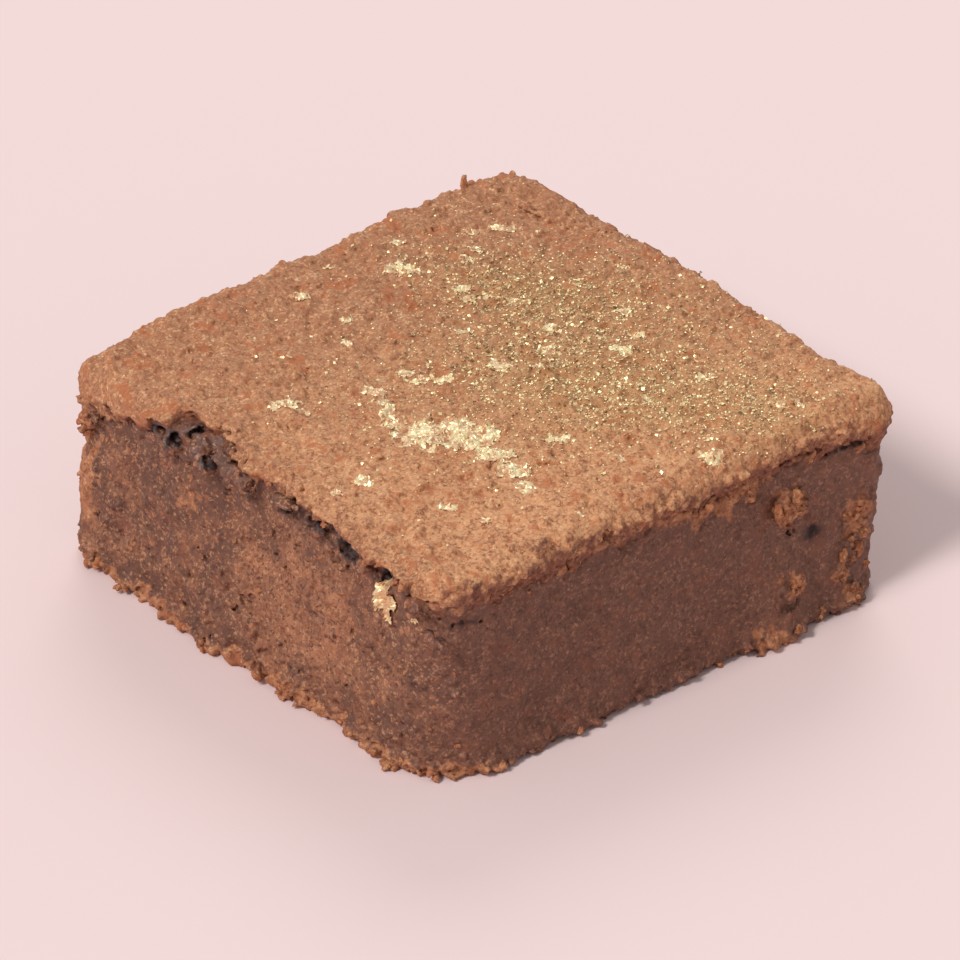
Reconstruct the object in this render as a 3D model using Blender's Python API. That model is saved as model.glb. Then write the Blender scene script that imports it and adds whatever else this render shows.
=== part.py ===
"""A square of chocolate brownie: one solid with cut sides, a rolled-over baked crust and a flat base.

Sizes are in metres and +Z is up. The origin is the middle of the flat base. The cut face whose crust
has broken back looks along -Y, and the face whose crust rolls over its edge looks along +X.
"""

import math

import bmesh
import bpy
from mathutils import Vector, noise

MM = 0.001

# Driving dimensions
SIDE = 65 * MM
HEIGHT = 26 * MM
HALF = SIDE / 2
CORNER_RADIUS = 3 * MM
FRONT_CORNER_RADIUS = 6 * MM  # the corner between the -Y and the +X face is worn rounder
FRONT_CORNER_WEAR = 1.7 * MM  # and more so towards its foot
RIGHT_CORNER_WEAR = 1.3 * MM

# How finely the skin is divided
TOP_CELLS = 28
SHOULDER_ROWS = 4
WALL_ROWS = 7

# The cut sides
WALL_LEAN = 0.5 * MM  # how far the top of a side is set back from its foot
BROKEN_FACE_LEAN = 2.2 * MM
WALL_GROOVE = 0.25 * MM  # the hollow just under the crust

# The crust's rim
RIM_DROP = 4.2 * MM  # how far the rim hangs below the top
BROKEN_RIM_DROP = 1.5 * MM
RIM_OVERHANG = 0.3 * MM
SHOULDER_RUN = 2.6 * MM  # how far in the rounding of the rim reaches
BROKEN_SHOULDER_RUN = 0.9 * MM

# The base
FOOT_HEIGHT = 1.4 * MM
FOOT_INSET = 0.7 * MM
FOOT_FLARE = 0.4 * MM
WORN_FOOT_INSET = 1.8 * MM  # under the front corner

# Stretches of the outline, as a middle and a reach along the side
BROKEN_STRETCH = (Vector((6 * MM, -HALF)), 24 * MM)
FRONT_CORNER = (Vector((HALF, -HALF)), 9 * MM)
RIGHT_CORNER = (Vector((HALF, HALF)), 12 * MM)
LEFT_CORNER = (Vector((-HALF, -HALF)), 10 * MM)

# Lumps that stand out of the foot, as a middle, a reach and a height
FOOT_LUMPS = (
    (Vector((-7 * MM, -HALF)), 6 * MM, 1.1 * MM),
    (Vector((7 * MM, -HALF)), 4 * MM, 0.8 * MM),
    (Vector((HALF, 16 * MM)), 6 * MM, 1.9 * MM),
    (Vector((HALF, 26 * MM)), 6 * MM, 1.0 * MM),
    (Vector((-HALF, 4 * MM)), 7 * MM, 1.0 * MM),
    (Vector((-14 * MM, HALF)), 7 * MM, 1.1 * MM),
)

# Swellings and dips of the top, as a middle, a reach and a height
TOP_SWELLINGS = (
    (Vector((-HALF, 14 * MM)), 6 * MM, 1.1 * MM),
    (Vector((-24 * MM, HALF)), 8 * MM, 1.0 * MM),
    (Vector((-2 * MM, HALF)), 14 * MM, 0.9 * MM),
    (Vector((-HALF, HALF)), 8 * MM, -1.3 * MM),
    (Vector((-HALF, -HALF)), 9 * MM, -0.9 * MM),
    (Vector((10 * MM, 6 * MM)), 26 * MM, 0.5 * MM),
    (Vector((-22 * MM, 26.5 * MM)), 4.5 * MM, -0.7 * MM),
    (Vector((-14 * MM, HALF)), 3 * MM, -0.6 * MM),
    (Vector((-25 * MM, -25 * MM)), 13 * MM, -0.8 * MM),
    (Vector((24 * MM, -24 * MM)), 13 * MM, -0.6 * MM),
)


def bell(place, middle, reach):
    """1 at the middle, falling smoothly to 0 at the reach."""
    share = min((place - middle).length / reach, 1)
    return (1 + math.cos(math.pi * share)) / 2


def plateau(place, middle, reach):
    """1 over most of the reach, falling to 0 at its end."""
    return min(2.5 * bell(place, middle, reach), 1)


def lumps_at(place, lumps):
    return sum(height * bell(place, middle, reach) for middle, reach, height in lumps)


def waves(place, level, length, height, seed):
    """Smooth irregular waves of the given length, at most about the given height."""
    return height * noise.noise(Vector((place.x / length, place.y / length, level / length + seed)))


class Station:
    """A point of the plan's outline, with what the side does there."""

    def __init__(self, u, v):
        radius = FRONT_CORNER_RADIUS if u > 0 and v < 0 else CORNER_RADIUS
        square = Vector((u, v)) * HALF
        core = HALF - radius
        centre = Vector((max(-core, min(core, square.x)), max(-core, min(core, square.y))))
        self.outward = (square - centre).normalized()
        self.place = centre + self.outward * radius
        self.broken = plateau(self.place, *BROKEN_STRETCH)
        self.front = bell(self.place, *FRONT_CORNER)
        self.right = bell(self.place, *RIGHT_CORNER)
        self.left = bell(self.place, *LEFT_CORNER)

    @property
    def wear(self):
        """How far the foot is worn back."""
        return FRONT_CORNER_WEAR * self.front + RIGHT_CORNER_WEAR * self.right

    def blend(self, whole, broken):
        """A measure that differs where the crust has broken back."""
        return whole + (broken - whole) * self.broken

    @property
    def lean(self):
        return self.blend(WALL_LEAN, BROKEN_FACE_LEAN) - 1.0 * MM * self.right + 0.7 * MM * self.left

    @property
    def rim_bottom(self):
        drop = self.blend(RIM_DROP, BROKEN_RIM_DROP) + 1.2 * MM * (self.left + self.right)
        ragged = waves(self.place, 0, 3 * MM, 0.9 * MM, 11)
        return HEIGHT - drop + ragged * self.blend(1, 0.4)

    @property
    def rim_inset(self):
        ragged = waves(self.place, 0, 3.5 * MM, 0.9 * MM, 23)
        return self.lean - self.blend(RIM_OVERHANG, 0.1 * MM) + ragged * self.blend(0.5, 1)

    @property
    def top_inset(self):
        return self.rim_inset + self.blend(SHOULDER_RUN, BROKEN_SHOULDER_RUN)

    def at(self, inset, height):
        """The point this far in from the outline, at this height."""
        plan = self.place - self.outward * inset
        return Vector((plan.x, plan.y, height))


def top_height(place):
    """The height of the baked top, which swells and dips as it baked."""
    rise = lumps_at(place, TOP_SWELLINGS)
    return HEIGHT + rise + waves(place, 0, 13 * MM, 0.5 * MM, 3) + waves(place, 0, 5 * MM, 0.25 * MM, 7)


def shoulder_row(station, share):
    """The rounding from the top's edge, at share 0, to the nose of the rim, at share 1."""
    edge = station.at(station.top_inset, 0)
    top = top_height(edge.xy)
    nose = station.rim_bottom + 0.3 * (HEIGHT - station.rim_bottom)
    turn = share * math.pi / 2
    run = station.top_inset - station.rim_inset
    return station.at(station.top_inset - run * math.sin(turn), nose + (top - nose) * math.cos(turn))


def rim_rows():
    """The underside of the rim and the hollow below it."""
    return (
        lambda s: s.at(s.rim_inset + s.blend(0.25, 0.1) * MM, s.rim_bottom),
        lambda s: s.at(s.lean + WALL_GROOVE, s.rim_bottom - 0.9 * MM),
    )


def wall_row(station, share):
    """The cut side, from the hollow under the rim, at share 0, to the foot, at share 1."""
    start = station.rim_bottom - 0.9 * MM
    height = start + (FOOT_HEIGHT + 1.2 * MM - start) * share
    inset = station.lean * (1 - share) + WALL_GROOVE * (1 - share) ** 4
    inset += station.wear * share
    inset -= lumps_at(station.place, FOOT_LUMPS) * share**4
    rough = waves(station.place, height, 6 * MM, 0.6 * MM, 31)
    return station.at(inset + rough + waves(station.place, height, 2.5 * MM, 0.4 * MM, 37), height)


def foot_rows():
    """The crumbly foot, which spreads a little and turns in under the base."""

    def spread(station):
        ragged = waves(station.place, 0, 4 * MM, 0.8 * MM, 43)
        return FOOT_FLARE + lumps_at(station.place, FOOT_LUMPS) + ragged - station.wear

    def under(station):
        return FOOT_INSET + (WORN_FOOT_INSET - FOOT_INSET) * station.front

    return (
        lambda s: s.at(-spread(s), FOOT_HEIGHT),
        lambda s: s.at(-spread(s) + 0.3 * under(s), 0.35 * FOOT_HEIGHT),
        lambda s: s.at(-spread(s) + under(s), 0),
    )


def skin_rows():
    """Every row of the side, from the rim of the top down to the edge of the base."""
    rows = [
        lambda s, share=row / SHOULDER_ROWS: shoulder_row(s, share)
        for row in range(1, SHOULDER_ROWS + 1)
    ]
    rows += rim_rows()
    rows += [
        lambda s, share=row / WALL_ROWS: wall_row(s, share)
        for row in range(1, WALL_ROWS + 1)
    ]
    return rows + list(foot_rows())


def place_top(bm):
    """Lays the unit grid over the top, and returns the station of each vertex on its border."""
    stations = {}
    for vertex in bm.verts:
        u, v = vertex.co.x, vertex.co.y
        reach = max(abs(u), abs(v))
        if reach == 0:
            plan = Vector((0, 0))
        else:
            station = Station(u / reach, v / reach)
            plan = station.at(station.top_inset, 0).xy * reach
        if vertex.is_boundary:
            stations[vertex] = station
        vertex.co = (plan.x, plan.y, top_height(plan))
    return stations


def lower_border(bm, border, stations, row):
    """Extrudes the open border by one row, and returns the new border and its stations."""
    made = bmesh.ops.extrude_edge_only(bm, edges=border)["geom"]
    border = [item for item in made if isinstance(item, bmesh.types.BMEdge) and item.is_boundary]
    fresh = {item for item in made if isinstance(item, bmesh.types.BMVert)}
    lowered = {}
    for old, station in stations.items():
        new = next(edge.other_vert(old) for edge in old.link_edges if edge.other_vert(old) in fresh)
        lowered[new] = station
    for vertex, station in lowered.items():
        vertex.co = row(station)
    return border, lowered


def principled(name, colour, roughness):
    material = bpy.data.materials.new(name)
    material.use_nodes = True
    shader = material.node_tree.nodes["Principled BSDF"]
    shader.inputs["Base Color"].default_value = (*colour, 1)
    shader.inputs["Roughness"].default_value = roughness
    shader.inputs["Metallic"].default_value = 0
    return material


def brownie_mesh():
    """The whole skin: the top as a grid, then its border lowered row by row and closed by the base."""
    bm = bmesh.new()
    bmesh.ops.create_grid(bm, x_segments=TOP_CELLS, y_segments=TOP_CELLS, size=1)
    stations = place_top(bm)
    border = [edge for edge in bm.edges if edge.is_boundary]
    rows = skin_rows()
    crust_rows = SHOULDER_ROWS + 1
    for number, row in enumerate(rows, start=1):
        known = set(bm.faces)
        border, stations = lower_border(bm, border, stations, row)
        if number > crust_rows:
            for face in set(bm.faces) - known:
                face.material_index = 1
    base = bmesh.ops.contextual_create(bm, geom=border)["faces"]
    for face in base:
        face.material_index = 1
    bmesh.ops.recalc_face_normals(bm, faces=bm.faces)
    centre_on_base(bm)
    mesh = bpy.data.meshes.new("brownie")
    bm.to_mesh(mesh)
    bm.free()
    mesh.materials.append(principled("baked crust", (0.46, 0.21, 0.11), 0.9))
    mesh.materials.append(principled("cut crumb", (0.19, 0.08, 0.05), 0.8))
    mesh.shade_smooth()
    return mesh


def centre_on_base(bm):
    """Moves the skin so that the middle of its box stands over the origin."""
    for axis in (0, 1):
        places = [vertex.co[axis] for vertex in bm.verts]
        middle = (min(places) + max(places)) / 2
        for vertex in bm.verts:
            vertex.co[axis] -= middle


for old in list(bpy.data.objects):
    bpy.data.objects.remove(old, do_unlink=True)
brownie = bpy.data.objects.new("brownie", brownie_mesh())
bpy.context.scene.collection.objects.link(brownie)
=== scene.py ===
"""A square of chocolate brownie with a baked crust, loose crumbs, gold leaf and gold dust.

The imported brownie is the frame. It is re-made here as two finely crumbled pieces, the cut crumb and
the crust on it, and the crumbs and the gold are laid on them. Lengths are in millimetres until a mesh
is made. The cut face that looks along -Y is called the left one and that along +X the right one.
"""

import math

import bmesh
import bpy
import numpy as np
import openvdb
from mathutils import Matrix, Vector, noise


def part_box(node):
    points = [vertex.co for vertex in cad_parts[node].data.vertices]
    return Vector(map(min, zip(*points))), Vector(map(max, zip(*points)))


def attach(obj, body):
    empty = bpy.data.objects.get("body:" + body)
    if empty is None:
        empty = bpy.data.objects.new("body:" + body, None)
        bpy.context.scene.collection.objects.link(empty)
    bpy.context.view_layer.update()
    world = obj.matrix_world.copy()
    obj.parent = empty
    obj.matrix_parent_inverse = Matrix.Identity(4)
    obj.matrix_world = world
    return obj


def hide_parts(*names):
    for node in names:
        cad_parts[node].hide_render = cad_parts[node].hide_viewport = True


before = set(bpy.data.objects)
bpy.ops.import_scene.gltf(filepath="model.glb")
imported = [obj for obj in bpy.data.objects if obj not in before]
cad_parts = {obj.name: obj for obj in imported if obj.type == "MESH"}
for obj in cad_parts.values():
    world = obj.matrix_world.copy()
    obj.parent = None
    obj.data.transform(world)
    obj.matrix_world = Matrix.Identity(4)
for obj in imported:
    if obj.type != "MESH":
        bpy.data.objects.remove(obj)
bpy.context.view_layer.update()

MM = 0.001
low, high = (np.array(corner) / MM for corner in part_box("brownie"))
height = high[2]


# ---------------------------------------------------------------- the dough
# The brownie as it was cut from the tray. It is held as a field of distances to its outline, so that
# crust, crumb, hollows and cracks can be cut out of it and added to it as on the real one.

voxel = 0.2
margin = 2.0
outer_band = 1.8
inner_band = 3.6
softening = 0.4
first = np.floor((low - margin) / voxel).astype(int)
shape = tuple(int(n) for n in np.ceil((high + margin) / voxel).astype(int) - first)
xs, ys, zs = (((first[axis] + np.arange(shape[axis])) * voxel).astype(np.float32) for axis in range(3))
X, Y, Z = xs[:, None, None], ys[None, :, None], zs[None, None, :]
waves = np.sqrt(
    np.fft.fftfreq(shape[0], voxel)[:, None, None] ** 2
    + np.fft.fftfreq(shape[1], voxel)[None, :, None] ** 2
    + np.fft.rfftfreq(shape[2], voxel)[None, None, :] ** 2
).astype(np.float32)


def lumps(length, seed):
    """Random lumps about this long, as a field with a spread of 1."""
    white = np.random.default_rng(seed).standard_normal(shape, dtype=np.float32)
    spectrum = np.fft.rfftn(white)
    spectrum *= np.exp(-(((waves * length) - 1) / 0.45) ** 2)
    field = np.fft.irfftn(spectrum, shape)
    return (field / field.std()).astype(np.float32)


def pebbles(field):
    """Round grains with creases between them: the highest of three unlike copies of the field."""
    second = np.roll(field, (41, 97, 23), (0, 1, 2))
    third = np.roll(field, (113, 29, 61), (0, 1, 2))
    return np.maximum(np.maximum(field, second), third) - 0.85


def softened(field, length):
    spectrum = np.fft.rfftn(field)
    spectrum *= np.exp(-2 * (math.pi * length * waves) ** 2)
    return np.fft.irfftn(spectrum, shape).astype(np.float32)


def smoothstep(value, start, end):
    share = np.clip((value - start) / (end - start), 0, 1)
    return share * share * (3 - 2 * share)


def distances(node):
    """The field of distances to a node's outline, negative inside."""
    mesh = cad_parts[node].data
    mesh.calc_loop_triangles()
    points = np.empty(len(mesh.vertices) * 3, np.float32)
    mesh.vertices.foreach_get("co", points)
    corners = np.empty(len(mesh.loop_triangles) * 3, np.int32)
    mesh.loop_triangles.foreach_get("vertices", corners)
    grid = openvdb.FloatGrid.createLevelSetFromPolygons(
        points.reshape(-1, 3) / MM,
        triangles=corners.reshape(-1, 3).astype(np.uint32),
        transform=openvdb.createLinearTransform(voxelSize=voxel),
        exBandWidth=outer_band / voxel,
        inBandWidth=inner_band / voxel,
    )
    field = np.empty(shape, np.float32)
    grid.copyToArray(field, ijk=tuple(int(i) for i in first))
    return field


dough = softened(distances("brownie"), softening)
coarse = lumps(7.0, 1)
middling = lumps(3.2, 2)
small = lumps(1.6, 3)
fine = lumps(0.9, 4)
grains = pebbles(fine)
clods = pebbles(small)


def rim_line(x, y):
    """How high the lower edge of the crust runs round the brownie."""
    left = np.interp(
        x,
        (-34, -31, -28.5, -23.5, -17, -14, 26, 29.5, 34),
        (16.0, 16.8, 18.6, 21.2, 23.4, 24.4, 24.2, 22.4, 22.2),
    )
    right = np.interp(y, (-34, -24, -6, 14, 22, 29, 34), (22.0, 21.9, 21.6, 21.0, 21.6, 19.6, 19.2))
    near_left = smoothstep(-y, 22, 30)
    near_right = smoothstep(x, 20, 30) * (1 - near_left)
    return 21.6 + near_left * (left - 21.6) + near_right * (right - 21.6)


# ---------------------------------------------------------------- the cut crumb
# Dense moist chocolate crumb, cut through with a knife. The blade has dragged it smooth in places and
# torn it in others. Its hollows open under the crust, and its foot is a rim of drier baked crumbs.

left_side = smoothstep(-Y, 24, 31) * smoothstep(-X, -31, -27)
rim = rim_line(X, Y) + (0.4 * coarse + 0.45 * middling) * (1 - 0.7 * left_side) + 0.25 * small
right_side = smoothstep(X, 26, 32) * smoothstep(Y, -31, -26)
foot = smoothstep(-Z - 0.6 * middling, -2.6, -0.9) * (1 - 0.55 * right_side)
torn = smoothstep(coarse + 0.4 * middling, -0.2, 1.2)
open_air = 1 - smoothstep(Z - rim, 0.6, 1.4)
inset = 0.25 + 0.85 * smoothstep(Z - rim, -0.2, 0.7)
roughness = (0.45 + 0.4 * torn + 1.0 * foot - 0.25 * right_side * (1 - foot)) * open_air
crumb = dough + inset - roughness * (0.14 * middling + 0.13 * clods + 0.12 * grains) - 0.15 * foot


def ball(place, radii, turn, wobble):
    """The slices of a field round a lumpy ball, and the ball's own distances there."""
    place = np.array(place, float)
    radii = np.array(radii, float)
    span = np.array((max(radii[:2]), max(radii[:2]), radii[2])) * 1.5 + 0.5
    start = np.maximum(np.floor((place - span) / voxel).astype(int) - first, 0)
    end = np.minimum(np.ceil((place + span) / voxel).astype(int) - first + 1, shape)
    part = tuple(slice(a, b) for a, b in zip(start, end))
    x, y, z = X[part[0]] - place[0], Y[:, part[1]] - place[1], Z[:, :, part[2]] - place[2]
    c, s = math.cos(math.radians(turn)), math.sin(math.radians(turn))
    away = np.sqrt(((c * x + s * y) / radii[0]) ** 2 + ((c * y - s * x) / radii[1]) ** 2 + (z / radii[2]) ** 2)
    return part, (away - 1) * min(radii) + wobble * (0.6 * small[part] + 0.6 * fine[part])


def dig(field, place, radii, turn=0, wobble=0.25):
    part, hollow = ball(place, radii, turn, wobble)
    field[part] = np.maximum(field[part], -hollow)


def heap(field, place, radii, turn=0, wobble=0.2):
    part, lump = ball(place, radii, turn, wobble)
    field[part] = np.minimum(field[part], lump)


def on_left(field, x, z):
    """The place on the left-hand face at this x and z, or a place deep inside where there is no face."""
    filled = field[int(round(x / voxel)) - first[0], :, int(round(z / voxel)) - first[2]] < 0
    return np.array((x, ys[filled].min() if filled.any() else 0, z))


def on_right(field, y, z):
    """The place on the right-hand face at this y and z, or a place deep inside where there is no face."""
    filled = field[:, int(round(y / voxel)) - first[1], int(round(z / voxel)) - first[2]] < 0
    return np.array((xs[filled].max() if filled.any() else 0, y, z))


# The ledge of dark crumb where the crust has come away, with the lumps left standing on it
for place, radii in (
    ((-14.6, -31.2, 22.6), (1.6, 1.4, 1.3)), ((-10.4, -30.9, 23.1), (1.8, 1.5, 1.3)),
    ((-8.6, -31.6, 22.6), (1.4, 1.2, 1.1)), ((-6.6, -30.6, 23.7), (1.7, 1.4, 0.9)),
    ((-4.4, -31.3, 23.3), (1.5, 1.2, 1.1)), ((-2.2, -31.4, 23.4), (1.4, 1.0, 1.2)),
    ((4.2, -31.0, 23.3), (2.2, 1.0, 0.9)), ((9.0, -30.6, 22.9), (1.8, 1.1, 0.9)),
    ((18.2, -30.9, 22.6), (1.2, 1.1, 0.9)), ((27.4, -31.8, 22.3), (1.6, 1.0, 0.8)),
):
    heap(crumb, place, radii)

# Hollows that opened under the crust and one in the right-hand face, painted near-black inside as shade. They are dug
# out once the crumbs are on; the small pits in the cut faces are dug here.
hollows = (
    ((-24.9, -32.6, 21.9), (1.0, 1.6, 0.6)), ((-20.4, -32.0, 22.4), (2.4, 1.4, 0.4)),
    ((-16.8, -31.8, 23.2), (1.4, 1.4, 0.5)), ((-14.0, -31.6, 23.4), (0.9, 1.5, 0.9)),
    ((-12.1, -29.6, 24.2), (0.8, 1.2, 0.8)), ((-7.3, -31.4, 23.3), (1.5, 1.3, 0.6)),
    ((5.6, -31.4, 23.0), (1.4, 1.2, 0.45)), ((9.4, -31.2, 23.4), (1.6, 1.2, 0.4)),
    ((12.0, -30.2, 22.9), (1.4, 1.2, 0.5)), ((13.6, -29.9, 21.9), (1.6, 1.8, 1.3)),
    ((20.6, -30.5, 22.0), (1.3, 1.6, 1.0)), ((28.6, -31.8, 20.4), (1.3, 0.9, 0.4)),
    ((32.0, -29.6, 19.9), (1.6, 3.6, 0.5)), ((32.6, 18.4, 22.0), (1.6, 3.6, 0.4)),
    ((32.6, 25.8, 20.9), (1.6, 3.4, 0.4)), ((32.4, 21.2, 11.8), (1.2, 1.2, 0.9)),
)
for x, z, radii in (
    (-1.9, 8.0, (1.1, 0.9, 0.6)), (-0.5, 6.9, (0.8, 0.6, 0.4)), (-3.4, 6.6, (0.6, 0.5, 0.5)),
    (1.8, 15.4, (0.5, 0.5, 0.4)), (11.5, 19.5, (1.2, 0.5, 0.4)), (6.0, 4.0, (0.8, 0.5, 0.4)),
    (15.6, 11.5, (0.5, 0.5, 0.5)),
):
    dig(crumb, on_left(crumb, x, z), radii)
for y, z, radii in ((18.6, 12.8, (0.6, 0.7, 0.5)), (17.0, 4.2, (0.6, 1.6, 0.4))):
    dig(crumb, on_right(crumb, y, z), radii)

# The baked lumps that stuck to the right-hand face
for y, z, radius in (
    (16.8, 15.6, 1.4), (18.0, 16.6, 1.5), (19.2, 15.8, 1.3), (17.8, 14.9, 1.1), (17.2, 17.4, 0.8),
    (18.2, 6.8, 0.9), (16.7, 5.8, 0.9), (19.2, 6.0, 0.6), (26.8, 10.4, 1.2), (28.4, 9.2, 1.2), (26.4, 8.2, 0.8),
    (29.2, 12.0, 1.1), (28.4, 13.2, 0.8), (25.4, 4.9, 0.9), (26.8, 1.8, 0.9),
    (15.0, 0.9, 1.2), (13.4, 0.7, 0.9), (6.0, 20.6, 1.0), (8.6, 20.0, 1.1),
    (11.4, 20.6, 1.1), (3.4, 21.0, 0.8), (13.6, 19.8, 0.8), (-3.4, 21.4, 0.8), (-8.4, 21.2, 0.7), (9.8, 21.4, 0.9),
):
    heap(crumb, on_right(crumb, y, z), (radius * 0.5, radius, radius * 0.85), 0, 0.3)

# The baked lumps at the left corner, and the crumbly rim that the left-hand face stands on
for x, y, z, radius in (
    (-30.0, -30.8, 20.2, 1.3), (-29.6, -31.4, 18.4, 1.2), (-30.4, -29.6, 18.6, 1.3), (-30.0, -30.8, 16.6, 1.0),
    (-28.4, -31.9, 20.0, 0.9), (-31.0, -28.0, 17.4, 1.0), (31.0, -31.3, 18.9, 0.9), (29.2, -31.8, 19.4, 0.8),
):
    heap(crumb, (x, y, z), (radius, radius * 0.8, radius), 0, 0.2)
draw = np.random.default_rng(12)
for _ in range(110):
    left = draw.random() < 0.7
    across, level, radius = draw.uniform(-30.5, 30.5), draw.uniform(0.2, 1.4), draw.uniform(0.3, 0.6)
    place = on_left(crumb, across, level) if left else on_right(crumb, across, level)
    heap(crumb, place, (radius, radius, radius * 0.8), 0, 0.15)

# Small crumbs that hold to the cut faces all over, with small tears between them
draw = np.random.default_rng(11)
for number in range(1300):
    left = draw.random() < 0.7
    across = draw.uniform(-30.5, 30.5)
    level = 21 * draw.random() ** 1.5 + 0.6
    radius = draw.uniform(0.2, 0.45) * (1 if left else 0.7)
    place = on_left(crumb, across, level) if left else on_right(crumb, across, level)
    if number % 10 == 0 and left:
        dig(crumb, place, (radius * 1.5, radius, radius * 0.8), draw.uniform(-30, 30), 0.2)
    else:
        heap(crumb, place, (radius, radius, radius), 0, 0.15)

for place, radii in hollows:
    dig(crumb, place, radii)
crumb = np.maximum(crumb, -Z)


def largest_part(points, quads):
    """The same surface without the specks and bubbles that don't join on to it."""
    part_of = np.arange(len(points))
    sides = np.concatenate((quads[:, :2], quads[:, 1:3], quads[:, 2:]))
    while True:
        lowest = np.minimum(part_of[sides[:, 0]], part_of[sides[:, 1]])
        joined = part_of.copy()
        np.minimum.at(joined, sides[:, 0], lowest)
        np.minimum.at(joined, sides[:, 1], lowest)
        joined = joined[joined]
        if np.array_equal(joined, part_of):
            break
        part_of = joined
    kept = quads[part_of[quads[:, 0]] == np.bincount(part_of).argmax()]
    used, kept = np.unique(kept, return_inverse=True)
    return points[used], kept.reshape(-1, 4)


def as_mesh(name, field, faces_wanted):
    """The surface of a field as a mesh in metres, thinned out where it is flat."""
    grid = openvdb.FloatGrid(1.0)
    grid.transform = openvdb.createLinearTransform(voxelSize=voxel)
    grid.copyFromArray(np.clip(field, -1, 1), ijk=tuple(int(i) for i in first))
    points, quads = largest_part(*grid.convertToQuads(0.0))
    mesh = bpy.data.meshes.new(name)
    mesh.vertices.add(len(points))
    mesh.vertices.foreach_set("co", (points * MM).astype(np.float32).ravel())
    mesh.loops.add(quads.size)
    mesh.loops.foreach_set("vertex_index", quads[:, ::-1].astype(np.int32).ravel())
    mesh.polygons.add(len(quads))
    mesh.polygons.foreach_set("loop_start", np.arange(0, quads.size, 4, dtype=np.int32))
    mesh.update(calc_edges=True)
    piece = bpy.data.objects.new(name, mesh)
    bpy.context.scene.collection.objects.link(piece)
    thin = piece.modifiers.new("thin", "DECIMATE")
    thin.ratio = min(1, faces_wanted / (2 * len(quads)))
    thinned = bpy.data.meshes.new_from_object(piece.evaluated_get(bpy.context.evaluated_depsgraph_get()))
    piece.modifiers.remove(thin)
    piece.data = thinned
    bpy.data.meshes.remove(mesh)
    thinned.name = name
    thinned.shade_smooth()
    return piece


def points_of(mesh):
    points = np.empty(len(mesh.vertices) * 3, np.float32)
    mesh.vertices.foreach_get("co", points)
    return points.reshape(-1, 3) / MM


def read_field(field, points):
    """The field's values at these points."""
    places = np.clip(np.round(points / voxel).astype(int) - first, 0, np.array(shape) - 1)
    return field[tuple(places.T)]


def paint(mesh, name, values):
    """Keeps a value from 0 to 1 for each point, which the material reads by name."""
    layer = mesh.attributes.new(name, "FLOAT", "POINT")
    layer.data.foreach_set("value", np.clip(values, 0, 1).astype(np.float32))


def bell(away, reach):
    """1 at no distance, falling smoothly to 0 at the reach."""
    return (1 + np.cos(np.pi * np.minimum(np.abs(away) / reach, 1))) / 2


def baked(points):
    """How far each point was baked dry: 0 in the moist crumb and 1 in the crust."""
    x, y, z = points.T
    above = z - rim_line(x, y)
    near = read_field(middling, points) * 0.5 + read_field(small, points) * 0.4
    share = smoothstep(above + near + 0.8 * smoothstep(x, 28, 31), -0.4, 2.6)
    lowest = smoothstep(-z - 0.9 * near, -2.4, -0.8) * (1 - 0.7 * smoothstep(x, 27, 31) * smoothstep(y, -28, -20))
    corner = 0.85 * smoothstep(-x - y + near, 58.5, 61) * smoothstep(z, 2, 8)
    stuck = np.zeros(len(points))
    for middle_y, middle_z, reach in (
        (17.9, 16.2, 3.0), (17.9, 6.4, 2.0), (28.0, 10.8, 3.2), (25.6, 5.0, 1.8), (26.8, 1.6, 2.0),
        (14.4, 0.8, 2.6), (5.4, 20.8, 2.2), (9.0, 20.6, 2.4), (12.6, 20.4, 2.0),
    ):
        away = np.hypot(y - middle_y, z - middle_z) - 0.8 * near
        stuck = np.maximum(stuck, smoothstep(-away, -reach, -reach * 0.55) * smoothstep(x, 28, 31))
    streak = bell(z - 18.2 + 0.5 * (x + 16) + near, 1.3) * smoothstep(-y, 28, 31) * bell(x + 12, 6.5)
    return np.maximum.reduce((share, lowest, corner, stuck * 0.9, streak * 0.75))


most_faces = 195_000
crumb_piece = as_mesh("cut_crumb", crumb, most_faces)
at = points_of(crumb_piece.data)


def shade_in_hollows(points):
    """The painted shade of the hollows: 1 inside them and 0 a little outside them."""
    inside = np.zeros(len(points))
    for place, radii in hollows:
        away = np.linalg.norm((points - np.array(place)) / np.array(radii), axis=1)
        inside = np.maximum(inside, smoothstep(-away - 0.16 * read_field(small, points), -1.4, -0.95))
    return inside


smear = smoothstep(at[:, 2] + 1.2 * read_field(coarse, at), 19.5, 23.5) * smoothstep(-at[:, 1], 24, 29)
smear = smear * (0.5 + 0.5 * smoothstep(-at[:, 0], 0, 10))
off_corners = smoothstep(-at[:, 0], -29, -27) * smoothstep(at[:, 0], -29.5, -28)
paint(crumb_piece.data, "baked", baked(at) * (1 - 0.9 * smear * off_corners))
# Painted shade: dark where the surface lies deep inside the dough's outline and inside the hollows.
paint(crumb_piece.data, "hollow", np.maximum(smoothstep(-read_field(dough, at), 0.8, 1.9), shade_in_hollows(at)))
# Lighter where the crumb is torn, and lighter round the middle of the left-hand face than towards its ends, top and
# foot.
middle = bell(at[:, 0] - 7, 21) * bell(at[:, 2] - 11, 15)
paint(crumb_piece.data, "torn", 0.45 * read_field(torn, at) + 0.8 * middle - 0.1)
paint(crumb_piece.data, "smear", smear)
# Painted shade: the right-hand face is in shade, so its crumb gets a darker colour, duller pale grains and fewer pale
# flecks.
paint(crumb_piece.data, "moist_and_right_face_shade", smoothstep(at[:, 0] + 0.8 * read_field(coarse, at), 24, 32))


# ---------------------------------------------------------------- the finish of the crumb
# Crust, crumb and loose crumbs share one grain: fine baked particles, some darker, some paler, and
# redder patches behind them. Each material sets its own colours and sizes for it.

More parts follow.
